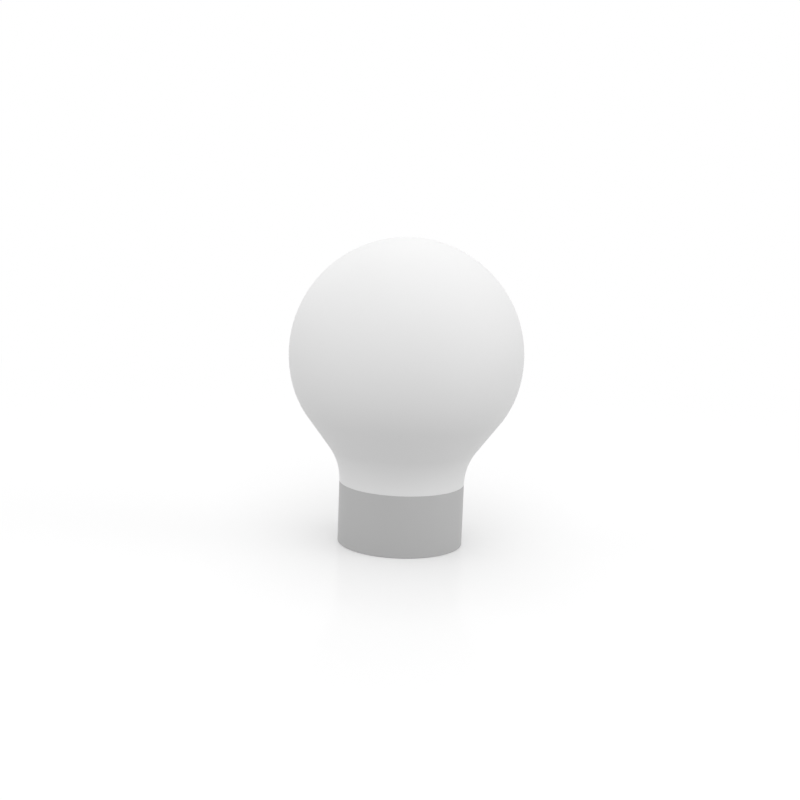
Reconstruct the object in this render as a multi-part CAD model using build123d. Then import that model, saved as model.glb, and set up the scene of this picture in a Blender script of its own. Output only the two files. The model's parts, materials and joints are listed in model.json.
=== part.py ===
from build123d import *
import os
from math import atan2, cos, degrees, radians, sin, sqrt, tan

# Ball-top cap for a round tubular fence post, in millimetres, +Z up.
# The origin is the centre of the collar's open end, which the cap stands on.
# The post comes up into the collar from below, and -Y is the cap's front.

# Post and the socket that takes it
post_diameter = 48.3
post_clearance = 0.3  # radial
socket_depth = 45.0  # from the open end to the rubber stop
socket_wall = 1.8
socket_lead_in = 1.0
socket_crown_round = 1.5

# Collar
collar_height = 32.0
collar_wall = 2.2
collar_edge_round = 0.3
crown_thickness = 3.0  # closes the socket above the stop
vent_diameter = 3.0
web_thickness = 2.5  # ring under the thread groove
rib_count = 8
rib_thickness = 1.6
rib_recess = 1.0  # ribs and bosses stop short of the open end

# Ball and neck
ball_radius = 60.0
lower_radius = 50.0  # the ball draws in a little faster low down
lower_start = 15.0  # degrees below the ball's widest ring where it begins to
flank_angle = 36.5  # degrees from upright, of the straight flank under the ball
neck_radius = 31.1  # hollow curve between the flank and the collar's edge
globe_wall = 2.4
shoulder_thickness = 2.0
shoulder_rise = 6.0  # height over which the inside opens out to the neck's wall

# Threaded sleeve of the globe, and the thread in the collar
sleeve_length = 13.0
sleeve_wall = 1.8
sleeve_inner_gap = 0.65  # radial, to the socket inside it
sleeve_end_gap = 1.0
sleeve_end_chamfer = 0.5
thread_lead = 5.0
thread_height = 1.05
thread_slope = 0.6  # how much wider a ridge is at its root, and narrower at its crest
thread_clearance = 0.35  # radial, from a crest to the wall it faces
thread_side_clearance = 0.4  # along the axis, at half height
thread_end_gap = 0.4  # at each end of the thread
thread_root_sink = 0.3  # how far a ridge is sunk into the wall that carries it

# Rubber pieces
gasket_thickness = 2.0
gasket_step_width = 0.8  # ledge at the top of the collar that the gasket lies on
gasket_clearance = 0.2
stop_pad_thickness = 2.0
stop_pad_groove = 0.45  # how far the pad's groove is cut outside the socket's wall
stop_pad_clearance = 0.1
stop_pad_hole_diameter = 4.0  # in line with the vent

# Clamping screws, one each side of the rear
screw_diameter = 6.0
screw_length = 6.0
screw_clearance = 0.05  # radial, in the insert's thread
screw_recess = 0.2  # outer end, below the collar's surface, backed right off
screw_height = 8.0
screw_spread = 45.0  # degrees each side of the rear
hex_key_size = 3.0
hex_key_depth = 3.0
screw_tip_recess_depth = 1.2
access_clearance = 0.2  # radial, of the hole in the collar's skin
insert_wall = 1.2
insert_cover = 2.1  # of the collar's skirt, left outside the insert
insert_end_gap = 0.1  # from the screw's tip, backed right off, to the insert's inner end
insert_groove_width = 1.0
insert_groove_depth = 0.4
pad_recess_clearance = 0.3  # radial, round the clamp pad
clamp_pad_setback = 0.1  # behind the socket's wall, backed right off
clamp_pad_stem_diameter = 3.0
clamp_pad_stem_length = 1.0
clamp_pad_stem_clearance = 0.1
boss_wall = 1.8

# The build-up of radii, from the post outwards
socket_radius = post_diameter / 2 + post_clearance
socket_outer = socket_radius + socket_wall
sleeve_inner = socket_outer + sleeve_inner_gap
sleeve_outer = sleeve_inner + sleeve_wall
collar_inner = sleeve_outer + thread_height + thread_clearance
collar_outer = collar_inner + collar_wall
gasket_step = collar_inner + gasket_step_width
stop_pad_seat = socket_radius + stop_pad_groove

# Heights
sleeve_end = collar_height - sleeve_length
groove_floor = sleeve_end - sleeve_end_gap
web_underside = groove_floor - web_thickness
gasket_ledge = collar_height - gasket_thickness
crown_underside = socket_depth + stop_pad_thickness
crown_top = crown_underside + crown_thickness

# The two ridges of the thread share each turn, half a lead apart, between the
# sleeve's end and the gasket
thread_middle = thread_lead / 2 - thread_side_clearance
thread_base = thread_middle + thread_slope
thread_crest = thread_middle - thread_slope
thread_start = sleeve_end + thread_end_gap + thread_base / 2
thread_rise = gasket_ledge - thread_end_gap - thread_base / 2 - thread_start

# From the ball's widest ring down, the outline is the ball's arc, the tighter lower
# arc, the straight flank and the neck's hollow arc, each meeting the next without a
# corner, and the last leaving the collar upright. So the flank is as long as takes it
# from the lower arc to the neck, and the ball's centre is as high as that makes it.
low = radians(lower_start)
lean = radians(flank_angle)
neck_centre = collar_outer + neck_radius
lower_offset = (ball_radius - lower_radius) * cos(low)  # of the lower arc's centre
flank_top = lower_offset + lower_radius * cos(lean)
flank_bottom = neck_centre - neck_radius * cos(lean)
flank_height = (flank_top - flank_bottom) / tan(lean)
ball_height = (
    (ball_radius - lower_radius) * sin(low)
    + (lower_radius + neck_radius) * sin(lean)
    + flank_height
)
ball_centre = collar_height + ball_height
lower_centre = ball_centre - (ball_radius - lower_radius) * sin(low)

# Distances along a clamping screw, from the cap's axis
screw_outer_end = collar_outer - screw_recess
screw_tip = screw_outer_end - screw_length
insert_outer_end = collar_outer - insert_cover
insert_inner_end = screw_tip + insert_end_gap
clamp_pad_face = socket_radius + clamp_pad_setback

# Across a clamping screw
insert_radius = screw_diameter / 2 + insert_wall
boss_width = 2 * (insert_radius + boss_wall)


def ring_face(corners):
    """Closed outline in the plane through the axis, from (radius, height) corners."""
    return Plane.XZ * make_face(Polyline(*corners, close=True))


def full_turn(face):
    return revolve(face, Axis.Z, 360)


def thread_ridge(wall_radius, outward, start_angle):
    """Helical ridge of trapezoid section on a round wall, right handed."""
    side = 1 if outward else -1
    root = wall_radius - side * thread_root_sink
    crest = wall_radius + side * thread_height
    corners = [
        (root, thread_start - thread_base / 2),
        (crest, thread_start - thread_crest / 2),
        (crest, thread_start + thread_crest / 2),
        (root, thread_start + thread_base / 2),
    ]
    path = Helix(thread_lead, thread_rise, wall_radius, center=(0, 0, thread_start))
    ridge = sweep(ring_face(corners), path=path, is_frenet=True)
    return Rot(0, 0, start_angle) * ridge


def globe_outline():
    """Half section of the ball, neck, shoulder and sleeve, as one closed wire."""
    ball = (0, ball_centre)
    lower = (lower_offset, lower_centre)
    neck = (neck_centre, collar_height)
    inner_neck = neck_radius + globe_wall
    rise_angle = degrees(atan2(shoulder_rise, -sqrt(inner_neck**2 - shoulder_rise**2)))
    lower_sweep = lower_start - flank_angle
    outer_ball = CenterArc(ball, ball_radius, 90, -90 - lower_start)
    outer_lower = CenterArc(lower, lower_radius, -lower_start, lower_sweep)
    outer_neck = CenterArc(neck, neck_radius, 180 - flank_angle, flank_angle)
    inner_ball = CenterArc(ball, ball_radius - globe_wall, 90, -90 - lower_start)
    inner_lower = CenterArc(lower, lower_radius - globe_wall, -lower_start, lower_sweep)
    inner_curve = CenterArc(neck, inner_neck, 180 - flank_angle, rise_angle - 180 + flank_angle)
    outer_flank = Line(outer_lower @ 1, outer_neck @ 0)
    inner_flank = Line(inner_lower @ 1, inner_curve @ 0)
    sleeve = Polyline(
        outer_neck @ 1,
        (sleeve_outer, collar_height),
        (sleeve_outer, sleeve_end + sleeve_end_chamfer),
        (sleeve_outer - sleeve_end_chamfer, sleeve_end),
        (sleeve_inner, sleeve_end),
        (sleeve_inner, collar_height + shoulder_thickness),
        inner_curve @ 1,
    )
    axis = Line(inner_ball @ 0, outer_ball @ 0)
    outer = [outer_ball, outer_lower, outer_flank, outer_neck]
    inner = [inner_curve, inner_flank, inner_lower, inner_ball]
    return [*outer, sleeve, *inner, axis]


def globe():
    shell = full_turn(Plane.XZ * make_face(globe_outline()))
    return shell + thread_ridge(sleeve_outer, True, 0)


def collar_body():
    corners = [
        (vent_diameter / 2, crown_underside),
        (stop_pad_seat, crown_underside),
        (stop_pad_seat, socket_depth),
        (socket_radius, socket_depth),
        (socket_radius, socket_lead_in),
        (socket_radius + socket_lead_in, 0),
        (socket_outer, 0),
        (socket_outer, web_underside),
        (collar_inner, web_underside),
        (collar_inner, 0),
        (collar_outer, 0),
        (collar_outer, collar_height),
        (gasket_step, collar_height),
        (gasket_step, gasket_ledge),
        (collar_inner, gasket_ledge),
        (collar_inner, groove_floor),
        (socket_outer, groove_floor),
        (socket_outer, crown_top),
        (vent_diameter / 2, crown_top),
    ]
    section = ring_face(corners)
    crown_corner = section.vertices().sort_by_distance((socket_outer, 0, crown_top))[0]
    section = fillet(crown_corner, socket_crown_round)
    foot_corner = section.vertices().sort_by_distance((collar_outer, 0, 0))[0]
    section = fillet(foot_corner, collar_edge_round)
    return full_turn(section)


def spoke(width, height, angle):
    """Block from the socket's wall to the skirt, from the recess up to height."""
    inner = socket_outer - socket_wall / 2
    outer = collar_inner + collar_wall / 2
    block = Pos(inner, 0, rib_recess) * Box(
        outer - inner,
        width,
        height - rib_recess,
        align=(Align.MIN, Align.CENTER, Align.MIN),
    )
    return Rot(0, 0, angle) * block


def rod(radius, start, end):
    """Round bar along +X, which is the way out along a clamping screw."""
    bar = Cylinder(radius, end - start, align=(Align.CENTER, Align.CENTER, Align.MIN))
    return Pos(start, 0, 0) * Rot(0, 90, 0) * bar


def at_screw(piece, angle):
    """Turns a piece made along +X to a clamping screw's place."""
    return Pos(0, 0, screw_height) * Rot(0, 0, angle) * piece


def screw_bore():
    pad_room = rod(insert_radius, 0, insert_outer_end)
    access = rod(screw_diameter / 2 + access_clearance, 0, collar_outer + collar_wall)
    return pad_room + access


def collar(screw_angles):
    part = collar_body()
    overlap_top = web_underside + web_thickness / 2
    for index in range(rib_count):
        part += spoke(rib_thickness, overlap_top, (index + 0.5) * 360 / rib_count)
    for angle in screw_angles:
        part += spoke(boss_width, overlap_top, angle)
        part -= at_screw(screw_bore(), angle)
    return part + thread_ridge(collar_inner, False, 180)


def neck_gasket():
    corners = [
        (sleeve_outer + gasket_clearance, gasket_ledge),
        (gasket_step - gasket_clearance, gasket_ledge),
        (gasket_step - gasket_clearance, collar_height),
        (sleeve_outer + gasket_clearance, collar_height),
    ]
    return full_turn(ring_face(corners))


def stop_pad():
    outer = stop_pad_seat - stop_pad_clearance
    corners = [
        (stop_pad_hole_diameter / 2, socket_depth),
        (outer, socket_depth),
        (outer, crown_underside),
        (stop_pad_hole_diameter / 2, crown_underside),
    ]
    return full_turn(ring_face(corners))


def insert():
    middle = (insert_inner_end + insert_outer_end) / 2
    body = rod(insert_radius, insert_inner_end, insert_outer_end)
    groove = rod(insert_radius, middle - insert_groove_width / 2, middle + insert_groove_width / 2)
    groove -= rod(insert_radius - insert_groove_depth, insert_inner_end, insert_outer_end)
    thread = rod(screw_diameter / 2 + screw_clearance, insert_inner_end, insert_outer_end)
    return body - groove - thread


def grub_screw():
    tip_recess = clamp_pad_stem_diameter / 2 + clamp_pad_stem_clearance
    body = rod(screw_diameter / 2, screw_tip, screw_outer_end)
    body -= rod(tip_recess, screw_tip, screw_tip + screw_tip_recess_depth)
    key = RegularPolygon(hex_key_size / 2, 6, major_radius=False)
    key_start = screw_outer_end - hex_key_depth
    return body - extrude(Plane.YZ.offset(key_start) * key, hex_key_depth)


def clamp_pad():
    head = rod(insert_radius - pad_recess_clearance, clamp_pad_face, screw_tip)
    stem = rod(clamp_pad_stem_diameter / 2, clamp_pad_face, screw_tip + clamp_pad_stem_length)
    return head + stem


def save(piece, node):
    piece.label = node
    export_step(piece, os.path.join("parts", node + ".step"))


def main():
    os.makedirs("parts", exist_ok=True)
    screws = {"left": 90 + screw_spread, "right": 90 - screw_spread}
    save(globe(), "globe")
    save(collar(screws.values()), "collar")
    save(neck_gasket(), "neck_gasket")
    save(stop_pad(), "stop_pad")
    for side, angle in screws.items():
        save(at_screw(insert(), angle), side + "_insert")
        save(at_screw(grub_screw(), angle), side + "_grub_screw")
        save(at_screw(clamp_pad(), angle), side + "_clamp_pad")


main()
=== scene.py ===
import json
import math

import bmesh
import bpy
from mathutils import Matrix, Vector


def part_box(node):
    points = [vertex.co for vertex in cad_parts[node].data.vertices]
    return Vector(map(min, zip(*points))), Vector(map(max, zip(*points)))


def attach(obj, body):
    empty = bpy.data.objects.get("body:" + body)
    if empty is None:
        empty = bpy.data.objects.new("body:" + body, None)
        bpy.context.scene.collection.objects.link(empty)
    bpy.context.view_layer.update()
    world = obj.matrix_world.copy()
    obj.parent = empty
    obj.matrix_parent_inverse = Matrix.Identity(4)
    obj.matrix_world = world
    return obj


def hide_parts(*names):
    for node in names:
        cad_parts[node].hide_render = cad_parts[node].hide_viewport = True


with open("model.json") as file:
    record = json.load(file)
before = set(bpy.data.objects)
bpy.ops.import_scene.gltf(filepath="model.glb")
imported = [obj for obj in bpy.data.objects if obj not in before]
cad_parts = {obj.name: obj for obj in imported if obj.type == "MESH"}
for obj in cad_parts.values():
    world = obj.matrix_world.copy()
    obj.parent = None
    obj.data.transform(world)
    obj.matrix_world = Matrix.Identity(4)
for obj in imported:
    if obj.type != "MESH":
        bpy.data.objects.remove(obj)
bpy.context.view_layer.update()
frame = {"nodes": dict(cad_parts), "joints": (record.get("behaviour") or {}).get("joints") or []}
scene = bpy.context.scene
fullTurn = 2 * math.pi
mergeDistance = 1e-7
sharpAngle = math.radians(28)
joints = {joint["name"]: joint for joint in frame["joints"]}
print("frame loaded with", len(frame["nodes"]), "CAD nodes")


# Shaping tools. An outline lies in the XZ plane and is then turned round an axis.

class Outline:
    def __init__(self, radius, height):
        self.bm = bmesh.new()
        self.first = bmesh.ops.create_vert(self.bm, co=(radius, 0, height))["vert"][0]
        self.last = self.first

    def line(self, radius, height):
        self.last = bmesh.ops.extrude_vert_indiv(self.bm, verts=[self.last])["verts"][0]
        self.last.co = (radius, 0, height)

    def arc(self, centre, degrees, steps):  # positive degrees lean from up to outwards
        swept = bmesh.ops.spin(
            self.bm,
            geom=[self.last],
            cent=(centre[0], 0, centre[1]),
            axis=(0, 1, 0),
            angle=math.radians(degrees),
            steps=steps,
        )
        self.last = [part for part in swept["geom_last"] if isinstance(part, bmesh.types.BMVert)][0]

    def turn(self, segments, closed=True):
        if closed:
            bmesh.ops.contextual_create(self.bm, geom=[self.last, self.first])
        bmesh.ops.spin(
            self.bm,
            geom=self.bm.verts[:] + self.bm.edges[:],
            cent=(0, 0, 0),
            axis=(0, 0, 1),
            angle=fullTurn,
            steps=segments,
            use_merge=True,
        )
        tidyMesh(self.bm)
        return self.bm


def tidyMesh(bm):
    bmesh.ops.remove_doubles(bm, verts=bm.verts, dist=mergeDistance)
    bmesh.ops.recalc_face_normals(bm, faces=bm.faces)


def easeEdges(bm, width, segments=2, picked=None):
    sharp = [
        edge
        for edge in bm.edges
        if len(edge.link_faces) == 2
        and edge.calc_face_angle() > sharpAngle
        and (picked is None or picked(edge))
    ]
    bmesh.ops.bevel(
        bm, geom=sharp, offset=width, segments=segments, profile=0.5, affect="EDGES", material=-1
    )


def addBlock(bm, size, centre, degrees):
    # a block set out along +X, then carried round the Z axis
    turned = Matrix.Rotation(math.radians(degrees), 4, "Z") @ Matrix.Translation(centre)
    bmesh.ops.create_cube(bm, size=1, matrix=turned @ Matrix.Diagonal((*size, 1)))


def addRod(bm, radius, start, end, segments, placing):
    # a round bar along +X between two distances from the axis
    lying = Matrix.Translation(((start + end) / 2, 0, 0)) @ Matrix.Rotation(math.pi / 2, 4, "Y")
    bmesh.ops.create_cone(
        bm,
        cap_ends=True,
        segments=segments,
        radius1=radius,
        radius2=radius,
        depth=end - start,
        matrix=placing @ lying,
    )


def endFaces(swept):
    return [part for part in swept["geom_last"] if isinstance(part, bmesh.types.BMFace)]


def helicalRidge(values, wallRadius, side, startDegrees):
    # A trapezoid carried round and up, with a short ramp at each end. Side is 1 for a
    # ridge that stands outwards from the wall and -1 for one that stands inwards.
    bm = bmesh.new()
    half = values["ridgeMiddle"] / 2
    slope = values["ridgeSlope"] / 2
    corners = [
        (-values["ridgeSink"], -half - slope),
        (values["ridgeHeight"], -half + slope),
        (values["ridgeHeight"], half - slope),
        (-values["ridgeSink"], half + slope),
    ]
    rampTurn = math.radians(values["rampDegrees"])
    climb = values["lead"] / fullTurn
    startHeight = values["startHeight"] + rampTurn * climb
    verts = [
        bmesh.ops.create_vert(bm, co=(wallRadius + side * out, 0, startHeight + up))["vert"][0]
        for out, up in corners
    ]
    section = bmesh.ops.contextual_create(bm, geom=verts)["faces"]
    mainTurn = values["rise"] / climb - 2 * rampTurn

    def sweep(faces, angle, steps):
        swept = bmesh.ops.spin(
            bm,
            geom=faces,
            cent=(0, 0, 0),
            axis=(0, 0, 1),
            dvec=(0, 0, angle * climb / steps),
            angle=angle,
            steps=steps,
        )
        return endFaces(swept)

    upper = sweep(section, mainTurn, values["steps"])
    lower = sweep(section, -rampTurn, 1)
    upper = sweep(upper, rampTurn, 1)
    buried = wallRadius - side * values["ridgeSink"] / 2
    for face in upper + lower:  # the ends sink into the wall
        for vert in face.verts:
            reach = math.hypot(vert.co.x, vert.co.y)
            if side * (reach - wallRadius) > 0:
                vert.co.x *= buried / reach
                vert.co.y *= buried / reach
    turned = Matrix.Rotation(math.radians(startDegrees), 3, "Z")
    bmesh.ops.rotate(bm, verts=bm.verts, cent=(0, 0, 0), matrix=turned)
    tidyMesh(bm)
    return bm


def meshObject(name, bm):
    mesh = bpy.data.meshes.new(name)
    bm.to_mesh(mesh)
    bm.free()
    made = bpy.data.objects.new(name, mesh)
    scene.collection.objects.link(made)
    return made


def combine(target, tool, operation):
    # joins or cuts with the exact solver, and leaves one plain mesh
    change = target.modifiers.new("combine", "BOOLEAN")
    change.object = tool
    change.operation = operation
    change.solver = "EXACT"
    depsgraph = bpy.context.evaluated_depsgraph_get()
    merged = bpy.data.meshes.new_from_object(target.evaluated_get(depsgraph))
    target.modifiers.remove(change)
    target.data = merged
    bpy.data.objects.remove(tool)


def finishPiece(made, material, body, node, sharpDegrees=30):
    made.data.materials.clear()
    made.data.materials.append(material)
    made.data.shade_smooth()
    made.data.set_sharp_from_angle(angle=math.radians(sharpDegrees))
    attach(made, body)
    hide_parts(node)
    print("made", made.name, len(made.data.polygons), "faces")


# Shader maths is written as sums on these wrapped sockets.

class Value:
    def __init__(self, maker, socket):
        self.maker = maker
        self.socket = socket

    def maths(self, operation, *others):
        return self.maker.add("ShaderNodeMath", {"operation": operation}, [self, *others])

    def __add__(self, other):
        return self.maths("ADD", other)

    def __mul__(self, other):
        return self.maths("MULTIPLY", other)

    def __sub__(self, other):
        return self.maths("SUBTRACT", other)

    def __rsub__(self, other):
        return self.maker.add("ShaderNodeMath", {"operation": "SUBTRACT"}, [other, self])

    __radd__ = __add__
    __rmul__ = __mul__


class Finish:
    def __init__(self, name):
        self.material = bpy.data.materials.new(name)
        self.useTree(self.material)

    def useTree(self, owner):
        owner.use_nodes = True
        self.nodes = owner.node_tree.nodes
        self.links = owner.node_tree.links
        self.nodes.clear()

    @classmethod
    def onWorld(cls, world):
        made = cls.__new__(cls)
        made.useTree(world)
        return made

    def add(self, kind, settings=None, inputs=(), output=0):
        node = self.nodes.new(kind)
        for key, setting in (settings or {}).items():
            setattr(node, key, setting)
        pairs = inputs.items() if isinstance(inputs, dict) else enumerate(inputs)
        for key, given in pairs:
            if isinstance(given, Value):
                self.links.new(given.socket, node.inputs[key])
            else:
                node.inputs[key].default_value = given
        return Value(self, node.outputs[output]) if node.outputs else None

    def place(self):
        return self.add("ShaderNodeTexCoord", output="Object")

    def noise(self, size, detail=2.0, stretch=None):
        where = self.place()
        if stretch:
            settings = {"vector_type": "POINT"}
            where = self.add("ShaderNodeMapping", settings, {"Vector": where, "Scale": stretch})
        return self.add("ShaderNodeTexNoise", {}, {"Vector": where, "Scale": 1 / size, "Detail": detail})

    def band(self, value, low, high):  # 0 at low, 1 at high, smooth between
        settings = {"interpolation_type": "SMOOTHSTEP"}
        return self.add("ShaderNodeMapRange", settings, {"Value": value, "From Min": low, "From Max": high})

    def mixColour(self, factor, first, second):
        settings = {"data_type": "RGBA"}
        return self.add("ShaderNodeMix", settings, {0: factor, 6: first, 7: second}, output=2)

    def bump(self, height, distance, strength=1.0):
        inputs = {"Strength": strength, "Distance": distance, "Height": height}
        return self.add("ShaderNodeBump", {}, inputs)

    def skin(self, colour, roughness, normal, metallic=0.0, specular=0.5):
        inputs = {
            "Base Color": colour,
            "Roughness": roughness,
            "Normal": normal,
            "Metallic": metallic,
            "Specular IOR Level": specular,
        }
        surface = self.add("ShaderNodeBsdfPrincipled", {}, inputs)
        self.add("ShaderNodeOutputMaterial", {}, {"Surface": surface})
        return self.material


def grey(level, alpha=1.0):
    return (level, level, level, alpha)


# Finishes

ballFinishValues = {
    "colour": 0.9,
    "colourSpread": 0.012,
    "cloudSize": 0.05,
    "cloudDetail": 3,
    "roughness": 0.55,
    "roughnessSpread": 0.06,
    "specular": 0.1,
    "grainSize": 0.0004,
    "grainDetail": 2,
    "grainDepth": 0.000004,
    "waveSize": 0.012,
    "waveDetail": 1,
    "waveDepth": 0.00001,
}


def ballFinish():
    v = ballFinishValues
    f = Finish("whiteBallPlastic")
    cloud = f.noise(v["cloudSize"], v["cloudDetail"])
    grain = f.noise(v["grainSize"], v["grainDetail"])
    wave = f.noise(v["waveSize"], v["waveDetail"])
    dark = grey(v["colour"] - v["colourSpread"])
    light = grey(v["colour"] + v["colourSpread"])
    height = grain * v["grainDepth"] + wave * v["waveDepth"]
    return f.skin(
        f.mixColour(cloud, dark, light),
        roughness=v["roughness"] - v["roughnessSpread"] / 2 + cloud * v["roughnessSpread"],
        normal=f.bump(height, 1.0),
        specular=v["specular"],
    )


collarFinishValues = {
    "colour": 0.495,
    "colourSpread": 0.012,
    "cloudSize": 0.02,
    "cloudDetail": 3,
    "cloudShare": 0.7,
    "fleckSize": 0.0012,
    "fleckDetail": 2,
    "fleckShare": 0.3,
    "roughness": 0.5,
    "roughnessSpread": 0.08,
    "specular": 0.9,
    "grainSize": 0.00035,
    "grainDetail": 3,
    "grainDepth": 0.000012,
    "footWear": 0.05,  # how much lighter the scuffed foot is
    "footHeight": 0.0009,
    "scuffRange": (0.45, 0.62),
    "scuffShare": 0.5,
    "scuffRoughness": 0.1,
}


def collarFinish():
    v = collarFinishValues
    f = Finish("greyCollarPlastic")
    cloud = f.noise(v["cloudSize"], v["cloudDetail"])
    fleck = f.noise(v["fleckSize"], v["fleckDetail"])
    grain = f.noise(v["grainSize"], v["grainDetail"])
    height = f.add("ShaderNodeSeparateXYZ", {}, {0: f.place()}, output=2)
    scuff = f.band(fleck, *v["scuffRange"]) * (1 - f.band(height, 0.0, v["footHeight"]))
    shade = cloud * v["cloudShare"] + fleck * v["fleckShare"]
    dark = grey(v["colour"] - v["colourSpread"])
    light = grey(v["colour"] + v["colourSpread"])
    worn = grey(v["colour"] + v["footWear"])
    colour = f.mixColour(scuff * v["scuffShare"], f.mixColour(shade, dark, light), worn)
    return f.skin(
        colour,
        roughness=v["roughness"] + shade * v["roughnessSpread"] + scuff * v["scuffRoughness"],
        normal=f.bump(grain * v["grainDepth"], 1.0),
        specular=v["specular"],
    )


rubberFinishValues = {
    "dark": 0.018,
    "dusty": 0.045,
    "dustSize": 0.006,
    "dustDetail": 4,
    "dustRange": (0.4, 0.75),
    "roughness": 0.72,
    "roughnessSpread": 0.16,
    "grainSize": 0.0005,
    "grainDetail": 3,
    "grainDepth": 0.00002,
}


def rubberFinish():
    v = rubberFinishValues
    f = Finish("blackRubber")
    dust = f.noise(v["dustSize"], v["dustDetail"])
    grain = f.noise(v["grainSize"], v["grainDetail"])
    return f.skin(
        f.mixColour(f.band(dust, *v["dustRange"]), grey(v["dark"]), grey(v["dusty"])),
        roughness=v["roughness"] + dust * v["roughnessSpread"],
        normal=f.bump(grain * v["grainDepth"], 1.0),
    )


brassFinishValues = {
    "dark": (0.62, 0.42, 0.17, 1),
    "light": (0.78, 0.57, 0.27, 1),
    "roughness": 0.26,
    "patchSize": 0.004,
}

steelFinishValues = {
    "dark": (0.42, 0.42, 0.43, 1),
    "light": (0.6, 0.6, 0.61, 1),
    "roughness": 0.22,
    "patchSize": 0.003,
}

machinedValues = {
    "patchDetail": 3,
    "linesPerPatch": 12,
    "lineDetail": 2,
    "lineStretch": (1, 1, 0.08),
    "lineRoughness": 0.18,
    "lineDepth": 0.000008,
}


def metalFinish(name, values):
    v = {**machinedValues, **values}
    f = Finish(name)
    patch = f.noise(v["patchSize"], v["patchDetail"])
    line = f.noise(v["patchSize"] / v["linesPerPatch"], v["lineDetail"], stretch=v["lineStretch"])
    return f.skin(
        f.mixColour(patch, v["dark"], v["light"]),
        roughness=v["roughness"] + line * v["lineRoughness"],
        normal=f.bump(line * v["lineDepth"], 1.0),
        metallic=1.0,
    )


nylonFinishValues = {
    "dark": (0.66, 0.62, 0.53, 1),
    "light": (0.74, 0.71, 0.62, 1),
    "cloudSize": 0.003,
    "cloudDetail": 3,
    "roughness": 0.38,
    "roughnessSpread": 0.12,
    "grainSize": 0.0002,
    "grainDetail": 2,
    "grainDepth": 0.000006,
}


def nylonFinish():
    v = nylonFinishValues
    f = Finish("naturalNylon")
    cloud = f.noise(v["cloudSize"], v["cloudDetail"])
    grain = f.noise(v["grainSize"], v["grainDetail"])
    return f.skin(
        f.mixColour(cloud, v["dark"], v["light"]),
        roughness=v["roughness"] + cloud * v["roughnessSpread"],
        normal=f.bump(grain * v["grainDepth"], 1.0),
    )


ballPlastic = ballFinish()
collarPlastic = collarFinish()
blackRubber = rubberFinish()
brass = metalFinish("insertBrass", brassFinishValues)
steel = metalFinish("screwSteel", steelFinishValues)
nylon = nylonFinish()
print("finishes made")


# Heights and radii that several pieces share

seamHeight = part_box("neck_gasket")[1].z
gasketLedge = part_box("neck_gasket")[0].z
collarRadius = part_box("collar")[1].x
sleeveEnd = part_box("globe")[0].z
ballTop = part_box("globe")[1].z
threadValues = {
    "lead": 0.005,
    "ridgeHeight": 0.00105,
    "ridgeMiddle": 0.0021,  # width along the axis, at half height
    "ridgeSlope": 0.0006,
    "ridgeSink": 0.0003,
    "rampDegrees": 14,
    "steps": 200,
    "startHeight": sleeveEnd + 0.00175,
    "rise": 0.0075,
}

ballValues = {
    "ballRadius": 0.06,
    "lowerRadius": 0.05,
    "lowerStart": 15,  # degrees below the widest ring
    "flankAngle": 36.5,  # degrees from upright
    "neckRadius": 0.0311,
    "wall": 0.0024,
    "sleeveOuter": 0.0287,
    "sleeveInner": 0.0269,
    "sleeveChamfer": 0.0005,
    "shoulder": 0.002,
    "shoulderRise": 0.006,
    "threadDegrees": 0,
    "segments": 256,
    "crownSteps": 84,
    "lowerSteps": 18,
    "flankSteps": 12,
    "neckSteps": 30,
    "edge": 0.00008,
    "edgeReach": 0.001,  # edges from here under the seam upwards are eased
}


def makeBall():
    v = ballValues
    wall = v["wall"]
    flank = v["flankAngle"]
    drawIn = flank - v["lowerStart"]
    start = math.radians(v["lowerStart"])
    lean = math.radians(flank)
    shift = v["ballRadius"] - v["lowerRadius"]
    ball = (0, ballTop - v["ballRadius"])
    lower = (shift * math.cos(start), ball[1] - shift * math.sin(start))
    neck = (collarRadius + v["neckRadius"], seamHeight)
    flankEnd = (neck[0] - v["neckRadius"] * math.cos(lean), neck[1] + v["neckRadius"] * math.sin(lean))
    flankStart = (
        lower[0] + v["lowerRadius"] * math.cos(lean),
        lower[1] - v["lowerRadius"] * math.sin(lean),
    )
    innerNeck = v["neckRadius"] + wall
    riseDegrees = math.degrees(math.asin(v["shoulderRise"] / innerNeck))
    innerStart = neck[0] - math.sqrt(innerNeck**2 - v["shoulderRise"] ** 2)
    inward = (wall * math.cos(lean), -wall * math.sin(lean))

    def straight(first, last, shiftBy):  # even steps keep the shading smooth
        for step in range(1, v["flankSteps"] + 1):
            share = step / v["flankSteps"]
            outline.line(*[a + (b - a) * share - c for a, b, c in zip(first, last, shiftBy)])

    outline = Outline(0, ballTop)
    outline.arc(ball, 90 + v["lowerStart"], v["crownSteps"])
    outline.arc(lower, drawIn, v["lowerSteps"])
    straight(flankStart, flankEnd, (0, 0))
    outline.arc(neck, -flank, v["neckSteps"])
    outline.line(v["sleeveOuter"], seamHeight)
    outline.line(v["sleeveOuter"], sleeveEnd + v["sleeveChamfer"])
    outline.line(v["sleeveOuter"] - v["sleeveChamfer"], sleeveEnd)
    outline.line(v["sleeveInner"], sleeveEnd)
    outline.line(v["sleeveInner"], seamHeight + v["shoulder"])
    outline.line(innerStart, seamHeight + v["shoulderRise"])
    outline.arc(neck, flank - riseDegrees, v["neckSteps"] // 2)
    straight(flankEnd, flankStart, inward)
    outline.arc(lower, -drawIn, v["lowerSteps"] // 2)
    outline.arc(ball, -90 - v["lowerStart"], v["crownSteps"] // 2)
    bm = outline.turn(v["segments"], closed=False)
    easeEdges(bm, v["edge"], picked=lambda edge: edge.verts[0].co.z > seamHeight - v["edgeReach"])
    made = meshObject("ball", bm)
    ridge = helicalRidge(threadValues, v["sleeveOuter"], 1, v["threadDegrees"])
    combine(made, meshObject("ballThread", ridge), "UNION")
    finishPiece(made, ballPlastic, "ball", "globe")


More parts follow.
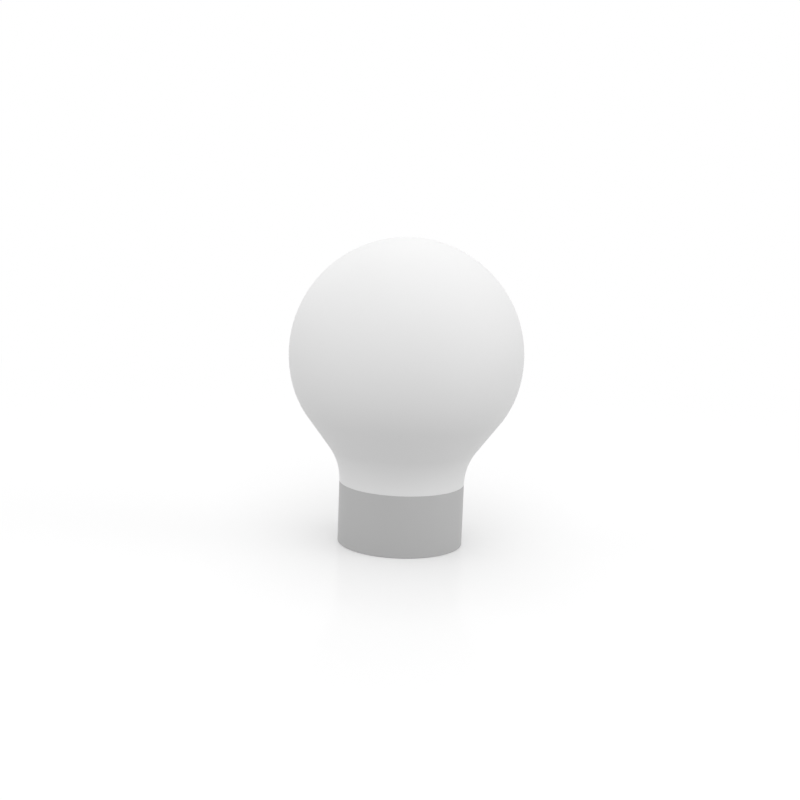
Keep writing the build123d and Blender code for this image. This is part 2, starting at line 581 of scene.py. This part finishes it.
collarValues = {
    "socketRadius": 0.02445,
    "socketOuter": 0.02625,
    "padGroove": 0.0249,
    "leadIn": 0.001,
    "inner": 0.0301,
    "gasketStep": 0.0309,
    "footRound": 0.0003,
    "footSteps": 4,
    "crownRound": 0.0015,
    "crownSteps": 6,
    "grooveFloor": sleeveEnd - 0.001,
    "web": 0.0025,
    "ventRadius": 0.0015,
    "edge": 0.00008,
    "segments": 256,
    "ribs": 8,
    "ribThickness": 0.0016,
    "ribRecess": 0.001,
    "bossWidth": 0.012,
    "insertSeat": 0.0042,
    "seatStart": 0.02,
    "accessRadius": 0.0032,
    "insertEnd": 0.0302,
    "cutOverlap": 0.001,
    "cutReach": 0.002,
    "cutSegments": 64,
    "threadDegrees": 180,
}


def collarBody():
    v = collarValues
    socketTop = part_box("stop_pad")[0].z
    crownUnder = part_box("stop_pad")[1].z
    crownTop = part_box("collar")[1].z
    webUnder = v["grooveFloor"] - v["web"]
    outline = Outline(v["ventRadius"], crownUnder)
    for radius, height in (
        (v["padGroove"], crownUnder),
        (v["padGroove"], socketTop),
        (v["socketRadius"], socketTop),
        (v["socketRadius"], v["leadIn"]),
        (v["socketRadius"] + v["leadIn"], 0),
        (v["socketOuter"], 0),
        (v["socketOuter"], webUnder),
        (v["inner"], webUnder),
        (v["inner"], 0),
        (collarRadius - v["footRound"], 0),
    ):
        outline.line(radius, height)
    outline.arc((collarRadius - v["footRound"], v["footRound"]), -90, v["footSteps"])
    for radius, height in (
        (collarRadius, seamHeight),
        (v["gasketStep"], seamHeight),
        (v["gasketStep"], gasketLedge),
        (v["inner"], gasketLedge),
        (v["inner"], v["grooveFloor"]),
        (v["socketOuter"], v["grooveFloor"]),
        (v["socketOuter"], crownTop - v["crownRound"]),
    ):
        outline.line(radius, height)
    crownCentre = (v["socketOuter"] - v["crownRound"], crownTop - v["crownRound"])
    outline.arc(crownCentre, -90, v["crownSteps"])
    outline.line(v["ventRadius"], crownTop)
    bm = outline.turn(v["segments"])
    easeEdges(bm, v["edge"])
    return bm


def screwPlacing(side):
    # a piece made along +X is turned to look out along the screw
    joint = joints[side + "_screw_turn"]
    outward = -Vector(joint["axis"])
    turned = Matrix.Rotation(math.atan2(outward.y, outward.x), 4, "Z")
    return Matrix.Translation(joint["pos_m"]) @ turned


def makeCollar():
    v = collarValues
    made = meshObject("collarMoulding", collarBody())
    webUnder = v["grooveFloor"] - v["web"]
    inner = (v["socketRadius"] + v["socketOuter"]) / 2
    outer = (v["inner"] + collarRadius) / 2
    top = webUnder + v["web"] / 2
    length = outer - inner
    tall = top - v["ribRecess"]
    middle = ((inner + outer) / 2, 0, (top + v["ribRecess"]) / 2)
    spokes = bmesh.new()
    for index in range(v["ribs"]):
        addBlock(spokes, (length, v["ribThickness"], tall), middle, (index + 0.5) * 360 / v["ribs"])
    for side in ("left", "right"):
        angle = math.degrees(screwPlacing(side).to_euler().z)
        addBlock(spokes, (length, v["bossWidth"], tall), middle, angle)
    combine(made, meshObject("spokes", spokes), "UNION")
    cuts = bmesh.new()
    for side in ("left", "right"):
        placing = screwPlacing(side)
        addRod(cuts, v["insertSeat"], v["seatStart"], v["insertEnd"], v["cutSegments"], placing)
        start = v["insertEnd"] - v["cutOverlap"]
        end = collarRadius + v["cutReach"]
        addRod(cuts, v["accessRadius"], start, end, v["cutSegments"], placing)
    combine(made, meshObject("cuts", cuts), "DIFFERENCE")
    ridge = helicalRidge(threadValues, v["inner"], -1, v["threadDegrees"])
    combine(made, meshObject("collarThread", ridge), "UNION")
    finishPiece(made, collarPlastic, "base", "collar")


gasketValues = {"inner": 0.0289, "outer": 0.0307, "edge": 0.0004}
stopPadValues = {"inner": 0.002, "outer": 0.0248, "edge": 0.0003}
ringValues = {"segments": 192, "edgeSegments": 4}


def makeRing(name, node, values, body):
    v = {**ringValues, **values}
    low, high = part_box(node)
    outline = Outline(v["inner"], low.z)
    outline.line(v["outer"], low.z)
    outline.line(v["outer"], high.z)
    outline.line(v["inner"], high.z)
    bm = outline.turn(v["segments"])
    easeEdges(bm, v["edge"], v["edgeSegments"])
    finishPiece(meshObject(name, bm), blackRubber, body, node)


screwValues = {
    "root": 0.00246,
    "crest": 0.00294,
    "outerEnd": collarRadius - 0.0002,
    "length": 0.006,
    "chamfer": (0.0001, 0.0002),  # across and along
    "keySize": 0.003,
    "keyDepth": 0.003,
    "tipRecess": 0.0016,
    "tipRecessDepth": 0.0012,
    "threadEndGap": 0.0006,
    "segments": 96,
}
screwTip = screwValues["outerEnd"] - screwValues["length"]
screwRidgeValues = {
    "lead": 0.001,
    "ridgeHeight": screwValues["crest"] - screwValues["root"],
    "ridgeMiddle": 0.00046,
    "ridgeSlope": 0.00064,
    "ridgeSink": 0.0001,
    "rampDegrees": 60,
    "steps": 260,
    "startHeight": screwTip + screwValues["threadEndGap"],
    "rise": screwValues["length"] - 2 * screwValues["threadEndGap"],
}


def layAlongX(bm, placing):
    # turned about Z, so its height becomes the distance along the screw
    lying = Matrix.Rotation(math.pi / 2, 4, "Y")
    bmesh.ops.transform(bm, matrix=placing @ lying, verts=bm.verts)


def makeScrew(side):
    v = screwValues
    across, along = v["chamfer"]
    outline = Outline(0, screwTip + v["tipRecessDepth"])
    for radius, distance in (
        (v["tipRecess"], screwTip + v["tipRecessDepth"]),
        (v["tipRecess"], screwTip),
        (v["root"] - across, screwTip),
        (v["root"], screwTip + along),
        (v["root"], v["outerEnd"] - along),
        (v["root"] - across, v["outerEnd"]),
        (0, v["outerEnd"]),
    ):
        outline.line(radius, distance)
    made = meshObject(side + "GrubScrew", outline.turn(v["segments"], closed=False))
    ridge = helicalRidge(screwRidgeValues, v["root"], 1, 0)
    combine(made, meshObject("screwThread", ridge), "UNION")
    key = bmesh.new()
    cornerRadius = v["keySize"] / math.sqrt(3)
    bmesh.ops.create_cone(
        key,
        cap_ends=True,
        segments=6,
        radius1=cornerRadius,
        radius2=cornerRadius,
        depth=v["keyDepth"] * 2,
        matrix=Matrix.Translation((0, 0, v["outerEnd"])),
    )
    combine(made, meshObject("key", key), "DIFFERENCE")
    bm = bmesh.new()
    bm.from_mesh(made.data)
    layAlongX(bm, screwPlacing(side))
    bm.to_mesh(made.data)
    bm.free()
    finishPiece(made, steel, side + "_screw", side + "_grub_screw")


insertValues = {
    "radius": 0.0042,
    "bore": 0.00305,
    "innerEnd": 0.0262,
    "outerEnd": 0.0302,
    "chamfer": 0.0002,
    "grooveDepth": 0.0004,
    "grooveWidth": 0.001,
    "knurlDepth": 0.00016,
    "knurlMargin": 0.00001,
    "segments": 96,
}


def makeInsert(side):
    v = insertValues
    chamfer = v["chamfer"]
    groove = v["radius"] - v["grooveDepth"]
    middle = (v["innerEnd"] + v["outerEnd"]) / 2
    grooveStart = middle - v["grooveWidth"] / 2
    grooveEnd = middle + v["grooveWidth"] / 2
    outline = Outline(v["bore"], v["innerEnd"])
    for radius, distance in (
        (v["radius"] - chamfer, v["innerEnd"]),
        (v["radius"], v["innerEnd"] + chamfer),
        (v["radius"], grooveStart),
        (groove, grooveStart),
        (groove, grooveEnd),
        (v["radius"], grooveEnd),
        (v["radius"], v["outerEnd"] - chamfer),
        (v["radius"] - chamfer, v["outerEnd"]),
        (v["bore"], v["outerEnd"]),
    ):
        outline.line(radius, distance)
    bm = outline.turn(v["segments"])
    for vert in bm.verts:  # every second line of the rim is pressed in, as a knurl
        reach = math.hypot(vert.co.x, vert.co.y)
        tooth = round(math.atan2(vert.co.y, vert.co.x) / fullTurn * v["segments"])
        if reach > v["radius"] - v["knurlMargin"] and tooth % 2:
            vert.co.x *= 1 - v["knurlDepth"] / reach
            vert.co.y *= 1 - v["knurlDepth"] / reach
    layAlongX(bm, screwPlacing(side))
    made = meshObject(side + "BrassInsert", bm)
    finishPiece(made, brass, "base", side + "_insert")


clampPadValues = {
    "face": 0.02455,  # distance of the face that presses on the post
    "radius": 0.0039,
    "stemRadius": 0.0015,
    "stemLength": 0.001,
    "edge": 0.00015,
    "edgeSegments": 3,
    "segments": 96,
}


def makeClampPad(side):
    v = clampPadValues
    outline = Outline(0, v["face"])
    for radius, distance in (
        (v["radius"], v["face"]),
        (v["radius"], screwTip),
        (v["stemRadius"], screwTip),
        (v["stemRadius"], screwTip + v["stemLength"]),
        (0, screwTip + v["stemLength"]),
    ):
        outline.line(radius, distance)
    bm = outline.turn(v["segments"], closed=False)
    easeEdges(bm, v["edge"], v["edgeSegments"])
    layAlongX(bm, screwPlacing(side))
    made = meshObject(side + "ClampPad", bm)
    finishPiece(made, nylon, side + "_pad", side + "_clamp_pad")


makeBall()
makeCollar()
makeRing("neckGasket", "neck_gasket", gasketValues, "gasket")
makeRing("stopPad", "stop_pad", stopPadValues, "base")
for side in ("left", "right"):
    makeInsert(side)
    makeScrew(side)
    makeClampPad(side)
print("pieces made")


# Floor, light and camera

stageValues = {
    "floorSize": 6.0,
    "floorDrop": 0.0002,  # lets light under the foot
    "bounceGlow": 0.535,  # what the floor gives back to the object
    "shownColour": 0.985,  # what the floor shows to the camera and to gloss
    "shownLift": 0.016,
    "gloss": 0.06,
    "glossRoughness": 0.14,
    "fadeToWhite": (0.2, 0.6),  # distances from the object
    "ambient": 0.735,
    "aim": (0, 0, 0.08),  # where the lamps point
    "lamps": {  # place, width and power of each soft lamp
        "frontLamp": ((0, -1.1, 1.5), 1.2, 5.7),
        "topLamp": ((0, 0, 1.8), 1.6, 2.0),
        "rearLamp": ((0, 1.1, 1.5), 1.2, 2.4),
        "leftLamp": ((-1.7, -0.2, 0.7), 1.2, 2.1),
        "rightLamp": ((1.7, -0.2, 0.7), 1.2, 4.3),
        "rearLeftLamp": ((-1.2, 1.3, 0.8), 1.2, 1.2),
    },
}


def seenDirectly(f):  # 1 for what the camera, a reflection or clear plastic looks at
    rays = [f.add("ShaderNodeLightPath", output=name) for name in ("Is Camera Ray", "Is Glossy Ray")]
    through = f.add("ShaderNodeLightPath", output="Is Transmission Ray")
    return rays[0].maths("MAXIMUM", rays[1]).maths("MAXIMUM", through)


def floorFinish():
    v = stageValues
    f = Finish("paleFloor")
    behind = f.add("ShaderNodeNewGeometry", output="Backfacing")
    plain = f.add("ShaderNodeEmission", {}, {"Color": grey(1), "Strength": v["bounceGlow"]})
    shown = f.add("ShaderNodeBsdfDiffuse", {}, {"Color": grey(v["shownColour"])})
    lift = f.add("ShaderNodeEmission", {}, {"Color": grey(1), "Strength": v["shownLift"]})
    gloss = f.add("ShaderNodeBsdfGlossy", {}, {"Color": grey(1), "Roughness": v["glossRoughness"]})
    shown = f.add("ShaderNodeAddShader", {}, [shown, lift])
    shown = f.add("ShaderNodeMixShader", {}, [v["gloss"], shown, gloss])
    reach = f.add("ShaderNodeVectorMath", {"operation": "LENGTH"}, [f.place()], output="Value")
    white = f.add("ShaderNodeEmission", {}, {"Color": grey(1), "Strength": 1.0})
    shown = f.add("ShaderNodeMixShader", {}, [f.band(reach, *v["fadeToWhite"]), shown, white])
    seen = f.add("ShaderNodeMixShader", {}, [seenDirectly(f), plain, shown])
    clear = f.add("ShaderNodeBsdfTransparent")
    surface = f.add("ShaderNodeMixShader", {}, [behind, seen, clear])
    f.add("ShaderNodeOutputMaterial", {}, {"Surface": surface})
    return f.material


def makeFloor():
    bm = bmesh.new()
    bmesh.ops.create_grid(bm, x_segments=1, y_segments=1, size=stageValues["floorSize"] / 2)
    bmesh.ops.translate(bm, verts=bm.verts, vec=(0, 0, -stageValues["floorDrop"]))
    floor = meshObject("floor", bm)
    floor.data.materials.append(floorFinish())


def makeWorld():
    world = bpy.data.worlds.new("studio")
    scene.world = world
    f = Finish.onWorld(world)
    ambient = stageValues["ambient"]
    strength = ambient + (1 - ambient) * seenDirectly(f)
    background = f.add("ShaderNodeBackground", {}, {"Color": grey(1), "Strength": strength})
    f.add("ShaderNodeOutputWorld", {}, {"Surface": background})


def makeLamps():
    for name, (place, width, power) in stageValues["lamps"].items():
        lamp = bpy.data.objects.new(name, bpy.data.lights.new(name, "AREA"))
        scene.collection.objects.link(lamp)
        lamp.data.size = width
        lamp.data.energy = power
        aim = (Vector(stageValues["aim"]) - Vector(place)).to_track_quat("-Z", "Y")
        lamp.matrix_world = Matrix.Translation(place) @ aim.to_matrix().to_4x4()


cameraValues = {
    "lens": 73.3,
    "distance": 0.8215,
    "height": 0.2314,
    "pitch": 10.79,  # degrees down
    "yaw": -0.17,
    "roll": 2.16,
    "clipStart": 0.01,
}


def makeCamera():
    v = cameraValues
    camera = bpy.data.objects.new("camera", bpy.data.cameras.new("camera"))
    scene.collection.objects.link(camera)
    camera.data.lens = v["lens"]
    camera.data.clip_start = v["clipStart"]
    looking = (
        Matrix.Rotation(math.radians(-v["yaw"]), 4, "Z")
        @ Matrix.Rotation(math.radians(90 - v["pitch"]), 4, "X")
        @ Matrix.Rotation(math.radians(v["roll"]), 4, "Z")
    )
    camera.matrix_world = Matrix.Translation((0, -v["distance"], v["height"])) @ looking
    scene.camera = camera


makeFloor()
makeWorld()
makeLamps()
makeCamera()
scene.view_settings.view_transform = "Standard"
print("stage, light and camera made")
